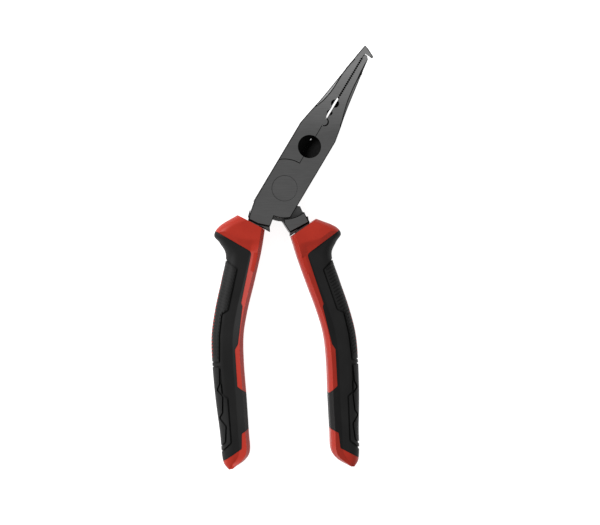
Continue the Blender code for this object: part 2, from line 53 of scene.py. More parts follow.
# %% [markdown]
# ## Two flat frames
# The tool is flat, so each place on it is easiest to say in a frame of its own part. Along the head we
# measure s from the rivet towards the tip and n to the left. Down a handle we measure a, and b outwards
# from the line midway between the handles. Both are in millimetres and are turned into metres at the last
# moment.

# %% The frames of the head and of the handles
MM = 0.001
LEFT, RIGHT = -1, 1
SIDES = {"left": LEFT, "right": RIGHT}
BODY_OF = {"left": "front_half", "right": "rear_half"}
HEAD_TURN = math.radians(30.8)
HANDLE_TURN = math.radians(3.43)
HANDLE_START = (-4.5, 0.2)
HANDLE_SPREAD = 0.35
RIGHT_DROP = 2.7


def head_point(s, n, z=0.0):
    """A place on the head, z above the middle of its thickness, in metres."""
    x = s * math.sin(HEAD_TURN) - n * math.cos(HEAD_TURN)
    y = s * math.cos(HEAD_TURN) + n * math.sin(HEAD_TURN)
    return PIVOT + Vector((x, y, z)) * MM


def handle_points(side, a, b, z):
    """Places on a handle from arrays of a, b and z, as rows of x, y, z in metres."""
    down = np.asarray(a, float) + (RIGHT_DROP if side == RIGHT else 0.0)
    out = side * (np.asarray(b, float) + HANDLE_SPREAD)
    x = HANDLE_START[0] + down * math.sin(HANDLE_TURN) + out * math.cos(HANDLE_TURN)
    y = HANDLE_START[1] - down * math.cos(HANDLE_TURN) + out * math.sin(HANDLE_TURN)
    return np.column_stack([x, y, np.broadcast_to(z, x.shape)]) * MM + np.array(PIVOT)


print("tip of the head at", head_point(80, 0)[:])

# %% [markdown]
# ## Making and carving solids
# A moulded handle is easy to describe as one smooth body that is then divided: the same loft, cut along
# different outlines, gives the hard core, the soft skin and the pads, and their surfaces always line up.
# So we need two tools: one skins a closed solid over rings of points, the other carves solids with each
# other.

# %% Solids from rings, and carving
def mesh_object(name, points, faces):
    mesh = bpy.data.meshes.new(name)
    mesh.from_pydata([tuple(p) for p in points], [], faces)
    shape = bmesh.new()
    shape.from_mesh(mesh)
    bmesh.ops.recalc_face_normals(shape, faces=shape.faces)
    shape.to_mesh(mesh)
    shape.free()
    made = bpy.data.objects.new(name, mesh)
    bpy.context.scene.collection.objects.link(made)
    return made


def skin(name, rings):
    """A closed solid over rings with equal numbers of points."""
    count = len(rings[0])
    last = (len(rings) - 1) * count
    faces = [list(range(count)), list(range(last, last + count))]
    for start in range(0, last, count):
        for i in range(count):
            j = (i + 1) % count
            faces.append([start + i, start + j, start + count + j, start + count + i])
    return mesh_object(name, [p for ring in rings for p in ring], faces)


def carve(body, *steps):
    """Joins to or cuts from body each (operation, tool) in turn, and removes the tools."""
    for operation, tool in steps:
        step = body.modifiers.new(tool.name, "BOOLEAN")
        step.operation = operation
        step.solver = "MANIFOLD"
        step.object = tool
    graph = bpy.context.evaluated_depsgraph_get()
    done = bpy.data.meshes.new_from_object(body.evaluated_get(graph))
    body.modifiers.clear()
    body.data = done
    for _, tool in steps:
        bpy.data.objects.remove(tool)
    return body


def finish_piece(piece, materials, body, slot, *nodes, smooth_to=30):
    """Shades a piece, gives it its finishes and its body, and hides the CAD nodes that it stands for."""
    indices = [face.material_index for face in piece.data.polygons]
    piece.data.materials.clear()
    for material in materials:
        piece.data.materials.append(material)
    piece.data.polygons.foreach_set("material_index", [min(i, len(materials) - 1) for i in indices])
    piece.data.shade_smooth()
    piece.data.set_sharp_from_angle(angle=math.radians(smooth_to))
    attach(piece, body)
    if nodes:
        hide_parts(*nodes)
    print(f"{piece.name}: {len(piece.data.polygons)} faces")


# %% [markdown]
# ## Finishes
# The tool has blackened steel that was ground on its faces, a matt black painted in as shade where the
# steel lies in hollows and gaps and as a dark line on its broken edges, hard red plastic, soft black
# plastic, and the rubber of the pads. None of them is one flat colour. The steel shows the grain of its
# grinding and is painted a little lighter at the nose, for the light its sloping faces catch; the plastics
# have the fine sparkle of a spark-eroded mould.

# %% Node helpers for the finishes
def new_finish(name, roughness, metallic=0.0, specular=0.5):
    material = bpy.data.materials.new(name)
    material.use_nodes = True
    shader = material.node_tree.nodes["Principled BSDF"]
    shader.inputs["Roughness"].default_value = roughness
    shader.inputs["Metallic"].default_value = metallic
    shader.inputs["Specular IOR Level"].default_value = specular
    return material, material.node_tree, shader


def add(tree, kind, **settings):
    node = tree.nodes.new(kind)
    for key, value in settings.items():
        if hasattr(node, key):
            setattr(node, key, value)
        else:
            node.inputs[key.replace("_", " ").title()].default_value = value
    return node


def object_place(tree, scale, turn=0.0):
    """Object coordinates, scaled, and turned about Z by turn radians."""
    source = add(tree, "ShaderNodeTexCoord")
    mapping = add(tree, "ShaderNodeMapping")
    mapping.inputs["Rotation"].default_value = (0, 0, turn)
    mapping.inputs["Scale"].default_value = scale
    tree.links.new(source.outputs["Object"], mapping.inputs["Vector"])
    return mapping.outputs["Vector"]


def noise(tree, place, scale, detail=3.0):
    texture = add(tree, "ShaderNodeTexNoise", scale=scale, detail=detail)
    tree.links.new(place, texture.inputs["Vector"])
    return texture.outputs["Fac"]


def ramp(tree, factor, stops):
    """A colour ramp from (position, colour) stops."""
    node = add(tree, "ShaderNodeValToRGB")
    while len(node.color_ramp.elements) < len(stops):
        node.color_ramp.elements.new(0.5)
    for element, (position, colour) in zip(node.color_ramp.elements, stops):
        element.position = position
        element.color = (*colour, 1)
    tree.links.new(factor, node.inputs["Fac"])
    return node.outputs["Color"]


def bump(tree, shader, height, distance, strength=1.0):
    node = add(tree, "ShaderNodeBump")
    node.inputs["Strength"].default_value = strength
    node.inputs["Distance"].default_value = distance
    tree.links.new(height, node.inputs["Height"])
    tree.links.new(node.outputs["Normal"], shader.inputs["Normal"])


def grey(value):
    return (value, value, value)


# %% Blackened steel
UNSCALED = (1, 1, 1)
GRINDING_SCALE = (60, 1200, 60)  # stretches the noise into fine lines across the head
GRINDING_NOISE, MOTTLE_NOISE, SPECK_NOISE = 3.0, 160.0, 900.0
# Along this stretch the steel is painted lighter, for the light that the nose's sloping faces catch.
PAINTED_LIGHT_FROM, PAINTED_LIGHT_TO = 30, 70  # s, in millimetres, over which the steel goes from dark to light
GRAIN_STRENGTH = 0.6
STEEL_BUMP = 0.00003  # depth of the grinding lines and of the specks, in metres


def make_steel(name, dark, light, roughness):
    """Ground steel with fine grinding lines, dark on the flat head and with painted light on the thin
    sloping nose.
    """
    material, tree, shader = new_finish(name, roughness, metallic=0.85)
    place = object_place(tree, UNSCALED)
    across = object_place(tree, GRINDING_SCALE, -HEAD_TURN)
    lines = noise(tree, across, GRINDING_NOISE)
    mottle = noise(tree, place, MOTTLE_NOISE)
    parts = add(tree, "ShaderNodeSeparateXYZ")
    tree.links.new(place, parts.inputs["Vector"])
    along = add(tree, "ShaderNodeMapRange")
    along.inputs["From Min"].default_value = head_point(PAINTED_LIGHT_FROM, 0).y
    along.inputs["From Max"].default_value = head_point(PAINTED_LIGHT_TO, 0).y
    tree.links.new(parts.outputs["Y"], along.inputs["Value"])
    # painted light: the ramp lightens the nose, whose sloping faces catch more light than the flat head
    tones = [(0.0, grey(dark)), (0.12, grey(dark * 1.15)), (1.0, grey(light))]
    painted_light_tone = ramp(tree, along.outputs["Result"], tones)
    grain = ramp(tree, lines, [(0.3, grey(0.85)), (0.7, grey(1.12))])
    mixed = add(tree, "ShaderNodeMix", data_type="RGBA", blend_type="MULTIPLY")
    mixed.inputs["Factor"].default_value = GRAIN_STRENGTH
    tree.links.new(painted_light_tone, mixed.inputs["A"])
    tree.links.new(grain, mixed.inputs["B"])
    tree.links.new(mixed.outputs["Result"], shader.inputs["Base Color"])
    rough = add(tree, "ShaderNodeMapRange")
    rough.inputs["To Min"].default_value = roughness - 0.06
    rough.inputs["To Max"].default_value = roughness + 0.08
    tree.links.new(mottle, rough.inputs["Value"])
    tree.links.new(rough.outputs["Result"], shader.inputs["Roughness"])
    bump(tree, shader, lines, STEEL_BUMP, 0.35)
    return material


def make_shade_and_edge_black():
    """Black painted in as shade in the cutter and between the jaws, and onto the broken edges as a dark
    line.
    """
    material, tree, shader = new_finish("painted_shade_and_dark_edges", 0.8, specular=0.05)
    specks = noise(tree, object_place(tree, UNSCALED), SPECK_NOISE)
    colour = ramp(tree, specks, [(0.3, grey(0.003)), (0.7, grey(0.006))])
    tree.links.new(colour, shader.inputs["Base Color"])
    bump(tree, shader, specks, STEEL_BUMP, 0.3)
    return material


STEEL = make_steel("blackened_ground_steel", 0.105, 0.27, 0.40)
SHADE_AND_EDGE_BLACK = make_shade_and_edge_black()


# %% Red and black plastic
DRIFT_NOISE = 90.0
RED_TONES = ((0.33, 0.019, 0.009), (0.37, 0.023, 0.011))
BLACK_TONES = (grey(0.008), grey(0.011))
RED_GRAIN, BLACK_GRAIN = 2200.0, 2600.0


def make_plastic(name, tones, roughness, shine, grain_scale, grain_depth):
    """Moulded plastic: a fine sparkle in the surface and a slow drift between two tones."""
    material, tree, shader = new_finish(name, roughness, specular=shine)
    place = object_place(tree, UNSCALED)
    drift = noise(tree, place, DRIFT_NOISE)
    dark, light = tones
    colour = ramp(tree, drift, [(0.3, dark), (0.7, light)])
    tree.links.new(colour, shader.inputs["Base Color"])
    sparkle = noise(tree, place, grain_scale, 4.0)
    bump(tree, shader, sparkle, grain_depth, 0.5)
    return material


RED = make_plastic("red_hard_plastic", RED_TONES, 0.42, 0.18, RED_GRAIN, 0.00005)
BLACK = make_plastic("black_soft_plastic", BLACK_TONES, 0.55, 0.13, BLACK_GRAIN, 0.00006)
PAD_BLACK = make_plastic("black_pad_rubber", BLACK_TONES, 0.55, 0.16, BLACK_GRAIN, 0.00008)
print("finishes", [m.name for m in (STEEL, SHADE_AND_EDGE_BLACK, RED, BLACK, PAD_BLACK)])

# %% [markdown]
# ## Steel levers
# The forged levers have the right shape already, but each of their edges is a mathematical knife edge.
# Real ones are broken a little, and here they are painted black, as a thin dark line round each ground
# face.
# Black is also painted in as shade in the well, the split, at the lap's shoulder and on the steps down to
# the flanks. We join up a copy of each mesh, give a bevel weight to the edges round its flat faces, away
# from the split and the rivet, and let a Bevel modifier round them. The rivet is ground flush with the
# levers, so its own edges stay sharp.

# %% Where black is painted on the steel as shade, and which edges are broken
EDGE_BREAK = 0.4 * MM
SHARP_EDGE = math.radians(35)
WELL_AT, WELL_RADIUS = 23.6, 5.65
JAW_START, JAW_END = 14.5, 77.2  # the stretch of the head where the two levers face each other
SPLIT_REACH = 3.8  # how far the hollows of the split reach to each side
FLANKS_START = 38.0
SHOULDER_RADIUS, SHOULDER_START, SHOULDER_REACH = 14.2, 8.0, 0.8
RIVET_ZONE = 7.0
LAP_CLEAR = 1.4  # edges nearer to the middle plane than this belong to the lap joint
LAP_FACES = (-1.2, 0.0)  # between these heights a flat face in the split is inside the joint
HEAD_HALF = 4.8
UPRIGHT_BELOW, FLAT_ABOVE = 0.6, 0.9  # how much an upright and a flat face's normal point up or down
NOSE_EDGE_AT = (32.0, 39.0, 47.8, 60.0, 75.0)
NOSE_EDGE_HALF = (9.7, 8.45, 6.75, 4.95, 2.85)
NOSE_EDGE_MARGIN = 0.3


def in_painted_shade(face):
    """True for a face painted as shade: in the well or the split, at the lap's shoulder, or on a step down
    to a flank.
    """
    middle = (face.calc_center_median() - PIVOT) / MM
    s = middle.x * math.sin(HEAD_TURN) + middle.y * math.cos(HEAD_TURN)
    n = -middle.x * math.cos(HEAD_TURN) + middle.y * math.sin(HEAD_TURN)
    in_well = math.hypot(s - WELL_AT, n) < WELL_RADIUS + 0.1 and abs(middle.z) < HEAD_HALF - 0.05
    upright = abs(face.normal.z) < UPRIGHT_BELOW
    in_lap = abs(face.normal.z) > FLAT_ABOVE and LAP_FACES[0] < middle.z < LAP_FACES[1]
    inside_edge = abs(n) < np.interp(s, NOSE_EDGE_AT, NOSE_EDGE_HALF) - NOSE_EDGE_MARGIN
    in_split = JAW_START < s < JAW_END and abs(n) < SPLIT_REACH and (upright or in_lap)
    on_step = FLANKS_START < s < JAW_END and upright
    off_shoulder = abs(math.hypot(s, n) - SHOULDER_RADIUS)
    at_shoulder = s > SHOULDER_START and off_shoulder < SHOULDER_REACH and upright
    return in_well or inside_edge and (in_split or on_step or at_shoulder)


def mark_outline(shape):
    """Gives a bevel weight to each sharp edge round a lever's faces, clear of the split and the rivet."""
    weight = shape.edges.layers.float.new("bevel_weight_edge")
    for edge in shape.edges:
        faces = edge.link_faces
        if edge.calc_face_angle(0.0) < SHARP_EDGE or any(face.material_index for face in faces):
            continue
        places = [(vert.co - PIVOT) / MM for vert in edge.verts]
        on_face = all(abs(place.z) > LAP_CLEAR for place in places)
        by_rivet = any(place.xy.length < RIVET_ZONE for place in places)
        if on_face and not by_rivet and any(abs(face.normal.z) > FLAT_ABOVE for face in faces):
            edge[weight] = 1.0


# %% Levers and rivet
def broken_edges(name, node, body, slot):
    """A copy of a CAD node with its marked edges rounded and painted black, and black painted as shade in
    its hollows.
    """
    source = frame["nodes"][node]
    shape = bmesh.new()
    shape.from_mesh(source.data)
    bmesh.ops.remove_doubles(shape, verts=shape.verts, dist=0.002 * MM)
    bmesh.ops.dissolve_limit(shape, angle_limit=math.radians(0.5), verts=shape.verts, edges=shape.edges)
    for face in shape.faces:
        # slot 1 is the black painted in as shade
        face.material_index = 1 if in_painted_shade(face) else 0
    mark_outline(shape)
    mesh = bpy.data.meshes.new(name)
    shape.to_mesh(mesh)
    shape.free()
    piece = bpy.data.objects.new(name, mesh)
    bpy.context.scene.collection.objects.link(piece)
    step = piece.modifiers.new("broken_edges", "BEVEL")
    step.width = EDGE_BREAK
    step.segments = 2
    step.limit_method = "WEIGHT"
    step.use_clamp_overlap = False
    # the rounded edges take slot 1, painted black as a dark line
    step.material = 1
    finish_piece(piece, (STEEL, SHADE_AND_EDGE_BLACK), body, slot, node, smooth_to=2)


broken_edges("front_lever_steel", "front_lever", "front_half", "blackened_steel")
broken_edges("rear_lever_steel", "rear_lever", "rear_half", "blackened_steel")
broken_edges("rivet_steel", "pivot_rivet", "front_half", "rivet_steel")

# %% [markdown]
# ## The handles
# Each handle is a loft over a few ribs. A rib says where it meets the inner edge, where it meets the outer
# edge and half its thickness. Between ribs the edges follow a smooth curve.

# %% Ribs of a handle
FLANGE_HALF, WAIST_HALF, PALM_HALF = 8.4, 7.6, 8.4
FLANGE_LIFT = {LEFT: 0.7, RIGHT: -0.6}  # how much higher the top of each flange is than drawn
LIFTED_RIBS = ((0, 1.0), (1, 0.5))  # rib and its share of the lift
RIBS = (
    ((20.7, 6.0), (12.8, 18.8), FLANGE_HALF),
    ((22.4, 6.4), (17.0, 27.4), FLANGE_HALF),
    ((25.4, 7.1), (21.2, 30.5), FLANGE_HALF),
    ((28.5, 7.8), (25.2, 27.9), (FLANGE_HALF + WAIST_HALF) / 2),
    ((33.5, 9.1), (31.5, 25.4), WAIST_HALF),
    ((45.0, 12.5), (43.0, 28.2), WAIST_HALF),
    ((58.0, 16.5), (56.5, 32.0), WAIST_HALF),
    ((70.0, 19.2), (69.5, 34.6), (WAIST_HALF + PALM_HALF) / 2),
    ((83.0, 19.9), (83.0, 35.1), PALM_HALF),
    ((100.0, 19.6), (100.0, 34.6), PALM_HALF),
    ((117.0, 19.5), (117.0, 33.4), PALM_HALF),
    ((126.0, 19.5), (127.0, 33.1), PALM_HALF - 0.4),
    ((130.5, 22.0), (132.0, 32.4), PALM_HALF - 1.4),
    ((134.3, 27.5), (135.0, 30.2), PALM_HALF - 2.9),
)
RING_SPACING = 0.5
HOLLOW_FROM, HOLLOW_TO = 1.0, 11.0  # ribs between which the skin is hollow and the core lies inside it
FLOOR_TO = 12.0  # rib at which the floor under the pads ends


def smooth(points, spacing):
    """A Catmull-Rom curve through rows of numbers, and how far along the rows each of its points is."""
    rows = np.vstack([points[0] * 2 - points[1], points, points[-1] * 2 - points[-2]])
    curve = []
    index = []
    for k in range(len(points) - 1):
        p, q, r, t = rows[k:k + 4]
        steps = max(2, math.ceil(np.linalg.norm((r - q)[:2]) / spacing))
        for u in np.arange(steps) / steps:
            square = (2 * p - 5 * q + 4 * r - t) * u**2
            cube = (3 * q - p - 3 * r + t) * u**3
            curve.append((2 * q + (r - p) * u + square + cube) / 2)
            index.append(k + u)
    return np.vstack(curve + [points[-1]]), np.array(index + [len(points) - 1.0])


def stations(side):
    """Rows of inner a and b, outer a and b and half thickness down the handle, and their rib numbers."""
    rows = np.array([[*inner, *outer, half] for inner, outer, half in RIBS])
    for rib, share in LIFTED_RIBS:
        rows[rib, [0, 2]] -= FLANGE_LIFT[side] * share
    return smooth(rows, RING_SPACING)


print("rings down a handle", len(stations(LEFT)[1]))

# %% [markdown]
# A rib's own section has a steep facet along the inner edge, then a ridge, then a face that falls away
# from the ridge into a shallow tray where the soft skin lies, and a round outer edge for the palm. The
# hard flange at the top has no tray. Two numbers say how deep the tray is, so every piece can ask for its
# own level: one along the handle and one at the flange.

# %% Section of a handle
FACET_WIDTH = 1.9
FACET_DROP = 3.4
STRIP_WIDTH = 3.4  # ridge to the floor of the tray
OUTER_ROUND = 5.5
LEAST_ROOM = 0.2  # what is left across a section, however large its inset is
TRAY_FROM, TRAY_BLEND = 2.0, 1.5  # rib at which the flange's tray ends, and how many ribs the change takes
ACROSS_STEPS = 34
ROUND_STEPS = 12


def half_section(width, thick, tray, inset):
    """Rows of distance from the inner edge and height, from the inner side round to the outer side."""
    room = max(LEAST_ROOM, width - 2 * inset)
    facet = min(FACET_WIDTH, room * 0.3)
    drop = min(FACET_DROP, thick * 0.6)
    radius = min(OUTER_ROUND - inset, room * 0.45, thick * 0.8)
    start = facet + inset
    end = width - inset - radius
    side_wall = [(inset, 0.0), (inset, (thick - drop) * 0.5), (inset, thick - drop)]
    slope = [(inset + facet * u, thick - drop * (1 - u)) for u in (0.33, 0.67)]
    across = [start + (end - start) * u for u in np.linspace(0, 1, ACROSS_STEPS)]
    face = [(t, thick - tray * min(1.0, (t - start) / STRIP_WIDTH)) for t in across]
    turns = np.linspace(math.pi / 2, 0, ROUND_STEPS + 1)[1:]
    tall = thick - tray
    edge = [(end + radius * math.cos(v), tall - radius * (1 - math.sin(v))) for v in turns]
    return np.array(side_wall + slope + face + edge + [(width - inset, 0.0)])


def handle_loft(name, side, tray, inset=0.0, flange_tray=None, first=0.0, last=None):
    """The handle's body, made smaller all round by inset. tray is the depth of the tray below the ridge."""
    rows, index = stations(side)
    flange_tray = tray if flange_tray is None else flange_tray
    last = index[-1] if last is None else last
    rings = []
    for (ia, ib, oa, ob, half), place in zip(rows, index):
        if not first <= place <= last:
            continue
        blend = min(1.0, max(0.0, (place - TRAY_FROM) / TRAY_BLEND))
        width = math.hypot(oa - ia, ob - ib)
        depth = flange_tray + (tray - flange_tray) * blend
        points = half_section(width, half - inset, depth, inset)
        front = points[1:-1]
        loop = np.vstack([points[:1], front, points[-1:], front[::-1] * (1, -1)])
        a = ia + (oa - ia) * loop[:, 0] / width
        b = ib + (ob - ib) * loop[:, 0] / width
        rings.append(handle_points(side, a, b, loop[:, 1]))
    return skin(name, rings)


# %% [markdown]
# The outlines that divide the handle are drawn once, flat, and cut right through its thickness. Each corner
# gives a, b and a radius.

# %% Outlines on a handle
OUTSIDE = 46.0  # b of a line well outside the handle
INSIDE = 12.0
CUT_MARGIN = 4.0  # how far a cutter reaches beyond the handle's faces
ARC_STEPS = 6
SKIN_OUTLINE = (
    (15.8, 35.2, 0), (30.4, 13.1, 2.2), (54.7, 19.6, 0.6), (56.2, 19.1, 0.6), (74.4, 22.4, 0.8),
    (77.0, 24.0, 0.8), (94.9, 23.9, 0.8), (99.9, 17.5, 0), (99.9, INSIDE, 0), (112.6, INSIDE, 0),
    (112.6, 15.0, 0), (117.6, 23.1, 0.8), (125.0, 23.6, 1.0), (134.0, 38.1, 0), (134.0, OUTSIDE, 0),
    (15.8, OUTSIDE, 0),
)
GRIP_OUTLINE = (
    (28.5, 30.2, 0), (38.1, 20.1, 1.0), (58.0, 25.7, 1.0), (59.8, 28.8, 1.0), (70.0, 30.6, 0),
    (83.0, 31.4, 0.5), (83.0, OUTSIDE, 0), (40.0, OUTSIDE, 0),
)
FINGER_OUTLINE = (
    (84.4, OUTSIDE, 0), (84.4, 31.4, 0.5), (97.8, 30.9, 0.8), (100.0, 28.4, 0.8), (122.0, 28.0, 2.0),
    (129.5, 36.3, 0), (129.5, OUTSIDE, 0),
)
SCALLOP_OUTLINE = (
    (84.4, 36.0, 0), (84.4, 32.1, 0.8), (93.0, 32.4, 1.0), (96.0, 33.8, 0.8), (99.0, 31.3, 0.8),
    (107.0, 31.8, 0.8), (109.6, 33.4, 0.8), (113.6, 30.5, 0.8), (121.3, 31.2, 0.8), (124.0, 34.0, 0),
    (124.0, OUTSIDE, 0), (84.4, OUTSIDE, 0),
)


def rounded(outline):
    """A closed outline as points, with each corner that has a radius turned into an arc."""
    points = []
    for i, (a, b, radius) in enumerate(outline):
        corner = Vector((a, b))
        if radius == 0:
            points.append(corner)
            continue
        before = (Vector(outline[i - 1][:2]) - corner).normalized()
        after = (Vector(outline[(i + 1) % len(outline)][:2]) - corner).normalized()
        half = before.angle(after) / 2
        centre = corner + (before + after).normalized() * radius / math.sin(half)
        reach = radius / math.tan(half)
        first = corner + before * reach - centre
        last = corner + after * reach - centre
        start = math.atan2(first.y, first.x)
        sweep = (math.atan2(last.y, last.x) - start + math.pi) % (2 * math.pi) - math.pi
        for k in range(ARC_STEPS + 1):
            turn = start + sweep * k / ARC_STEPS
            points.append(centre + Vector((math.cos(turn), math.sin(turn))) * radius)
    return points


def grown(points, distance):
    """A closed outline moved outwards by distance, or inwards when it is negative."""
    pairs = zip(points, points[1:] + points[:1])
    way = 1 if sum(p.x * q.y - p.y * q.x for p, q in pairs) > 0 else -1
    moved = []
    for i, point in enumerate(points):
        before = (point - points[i - 1]).normalized()
        after = (points[(i + 1) % len(points)] - point).normalized()
        first = Vector((before.y, -before.x)) * way
        second = Vector((after.y, -after.x)) * way
        moved.append(point + (first + second) * distance / (1 + first.dot(second)))
    return moved


def handle_prism(name, side, outline, growth=0.0):
    """An outline on the handle, taken right through its thickness."""
    points = grown(rounded(outline), growth)
    a = [p.x for p in points]
    b = [p.y for p in points]
    high = FLANGE_HALF + CUT_MARGIN
    return skin(name, [handle_points(side, a, b, z) for z in (-high, high)])


# %% [markdown]
# ## Hard core, soft skin and pads
# The core keeps the whole body wherever the skin leaves it bare. Beside the top of the skin the flange
# slopes down to it in a flat band. A wedge on each face cuts that band.

# %% Cutting the handle pieces
SKIN_DEPTH = 2.6
CORE_GAP = 0.1
POCKET_DEPTH = 1.5  # of the pockets in the skin
PAD_DEPTH = 1.45
TRAY = 1.5
PAD_TRAY = 1.15
PAD_GAP = 0.1
GROOVE_WIDTH = 0.8
GROOVE_DEPTH = 0.8
RIM_INSET = 0.4
BAND_WIDTH = 2.3
BAND_DEPTH = 1.5
BAND_SIDE = 8.0  # how far the wedge reaches over the skin
PAST_OUTER, PAST_INNER = 10, 6  # and past the two ends of the band


def flange_wedge(name, side, face):
    """The wedge above the band on one face of the flange; face is 1 for the front and -1 for the back."""
    outer = Vector(SKIN_OUTLINE[0][:2])
    inner = Vector(SKIN_OUTLINE[1][:2])
    along = (inner - outer).normalized()
    towards_red = Vector((-along.y, along.x))
    if towards_red.x > 0:
        towards_red.negate()
    slope = BAND_DEPTH / BAND_WIDTH
    section = (
        (-BAND_SIDE, -BAND_DEPTH), (0.0, -BAND_DEPTH),
        (BAND_WIDTH + CUT_MARGIN, slope * CUT_MARGIN), (-BAND_SIDE, CUT_MARGIN),
    )
    rings = []
    for end in (outer - along * PAST_OUTER, inner + along * PAST_INNER):
        ring = []
        for reach, height in section:
            place = end + towards_red * reach
            ring.append((place.x, place.y, face * (FLANGE_HALF + height)))
        a, b, z = zip(*ring)
        rings.append(handle_points(side, a, b, np.array(z)))
    return skin(name, rings)


def make_core(word, side):
    core = handle_loft(f"{word}_hard_core", side, TRAY, flange_tray=0.0)
    region = handle_prism("skin_region", side, SKIN_OUTLINE, CORE_GAP)
    inner = handle_loft("inside", side, TRAY, SKIN_DEPTH + CORE_GAP, first=HOLLOW_FROM, last=HOLLOW_TO)
    carve(region, ("DIFFERENCE", inner))
    wedges = [("DIFFERENCE", flange_wedge(f"wedge{face}", side, face)) for face in (1, -1)]
    carve(core, ("DIFFERENCE", region), *wedges)
    finish_piece(core, (RED,), BODY_OF[word], "red_hard_plastic", f"{word}_handle_core")


def make_skin(word, side):
    body = handle_loft(f"{word}_soft_skin", side, TRAY)
    hollow = handle_loft("hollow", side, TRAY, SKIN_DEPTH, first=HOLLOW_FROM, last=HOLLOW_TO)
    steps = [("INTERSECT", handle_prism("region", side, SKIN_OUTLINE)), ("DIFFERENCE", hollow)]
    for pad, outline in (("grip", GRIP_OUTLINE), ("finger", FINGER_OUTLINE)):
        pocket = handle_prism(f"{pad}_pocket", side, outline)
        floor = handle_loft("floor", side, TRAY, POCKET_DEPTH, first=HOLLOW_FROM, last=FLOOR_TO)
        steps.append(("DIFFERENCE", carve(pocket, ("DIFFERENCE", floor))))
    carve(body, *steps)
    finish_piece(body, (BLACK,), BODY_OF[word], "black_soft_plastic", f"{word}_overmould")


def level(name, side, outline, growth, tray, inset=0.0):
    """The part of the handle's body inside an outline, at the level that tray and inset give."""
    body = handle_loft(name, side, tray, inset)
    return carve(body, ("INTERSECT", handle_prism("outline", side, outline, growth)))


def make_pad(word, side, pad, outline, raised):
    """A pad with a sunk rim, so that a dark groove runs round it, and with its raised pattern joined on."""
    body = level(f"{word}_{pad}_pad_rubber", side, outline, -GROOVE_WIDTH, PAD_TRAY)
    rim = level("rim", side, outline, -PAD_GAP, PAD_TRAY + GROOVE_DEPTH, RIM_INSET)
    floor = handle_loft("floor", side, TRAY, PAD_DEPTH, first=HOLLOW_FROM, last=FLOOR_TO)
    carve(body, *raised, ("UNION", rim), ("DIFFERENCE", floor))
    finish_piece(body, (PAD_BLACK,), BODY_OF[word], "black_pad_rubber", f"{word}_{pad}_pad")


for word, side in SIDES.items():
    make_core(word, side)
    make_skin(word, side)

# %% [markdown]
# ## Ribs across the grip pad
# The grip pad is crossed by fine slanting ribs. This is one rib repeated down the handle, so Geometry
# Nodes makes the row: a line of points, a bar on each point, turned to the slant. The bars stand right
# through the handle. We keep only what they share with a body that stands a little higher than the pad,
# and join it to the pad, so every rib follows the pad's curve by itself.

# %% A node group that makes a row of bars
def node_after(tree, kind, **links):
    """A node whose named inputs are linked to the given sockets."""
    node = tree.nodes.new(kind)
    for name, socket in links.items():
        tree.links.new(socket, node.inputs[name.replace("_", " ")])
    return node


def make_bar_row():
    group = bpy.data.node_groups.new("bar_row", "GeometryNodeTree")
    for name, kind in (("Count", "Int"), ("Start", "Vector"), ("Step", "Vector"), ("Size", "Vector"),
                       ("Slant", "Float"), ("Finish", "Material")):
        group.interface.new_socket(name, in_out="INPUT", socket_type=f"NodeSocket{kind}")
    group.interface.new_socket("Bars", in_out="OUTPUT", socket_type="NodeSocketGeometry")
    given = group.nodes.new("NodeGroupInput").outputs
    line = node_after(group, "GeometryNodeMeshLine", Count=given["Count"], Start_Location=given["Start"],
                      Offset=given["Step"])
    bar = node_after(group, "GeometryNodeMeshCube", Size=given["Size"])
    turn = node_after(group, "ShaderNodeCombineXYZ", Z=given["Slant"])
    row = node_after(group, "GeometryNodeInstanceOnPoints", Points=line.outputs["Mesh"],
                     Instance=bar.outputs["Mesh"], Rotation=turn.outputs["Vector"])
    real = node_after(group, "GeometryNodeRealizeInstances", Geometry=row.outputs["Instances"])
    painted = node_after(group, "GeometryNodeSetMaterial", Geometry=real.outputs["Geometry"],
                         Material=given["Finish"])
    end = group.nodes.new("NodeGroupOutput")
    group.links.new(painted.outputs["Geometry"], end.inputs["Bars"])
    return group


BAR_ROW = make_bar_row()
RIB_PITCH = 1.8
RIB_WIDTH = 0.9
RIB_RISE = 0.45
RIB_MARGIN = 0.5  # how far the ribs stop short of the pad's edge
RIB_SLANT = math.radians(30)


def bar_row(name, side, first_a, last_a, middle_b, length, width, finish):
    """A row of slanting bars down a handle, made in millimetres of a and b and then laid on the handle."""
    row = bpy.data.objects.new(name, bpy.data.meshes.new(name))
    bpy.context.scene.collection.objects.link(row)
    step = row.modifiers.new("row", "NODES")
    step.node_group = BAR_ROW
    values = {
        "Count": int((last_a - first_a) / RIB_PITCH),
        "Start": (first_a, middle_b, 0.0),
        "Step": (RIB_PITCH, 0.0, 0.0),
        "Size": (width, length, (FLANGE_HALF + CUT_MARGIN) * 2),
        "Slant": RIB_SLANT,
        "Finish": finish,
    }
    for socket in BAR_ROW.interface.items_tree:
        if socket.in_out == "INPUT":
            step[socket.identifier] = values[socket.name]
    graph = bpy.context.evaluated_depsgraph_get()
    bars = bpy.data.meshes.new_from_object(row.evaluated_get(graph))
    bpy.data.objects.remove(row)
    a, b, z = np.array([v.co for v in bars.vertices]).T
    placed = handle_points(side, a, b, z)
    return mesh_object(name, placed, [list(face.vertices) for face in bars.polygons])


GRIP_ROW = (27.0, 86.0, 28.0, 30.0)  # first and last a, middle b, and length of the bars


def grip_ribs(side):
    """The ribs, as a solid that reaches a little above the pad's own surface."""
    ribs = level("ribs", side, GRIP_OUTLINE, -GROOVE_WIDTH - RIB_MARGIN, PAD_TRAY - RIB_RISE)
    return carve(ribs, ("INTERSECT", bar_row("bars", side, *GRIP_ROW, RIB_WIDTH, PAD_BLACK)))


print("ribs in the row", int((GRIP_ROW[1] - GRIP_ROW[0]) / RIB_PITCH))

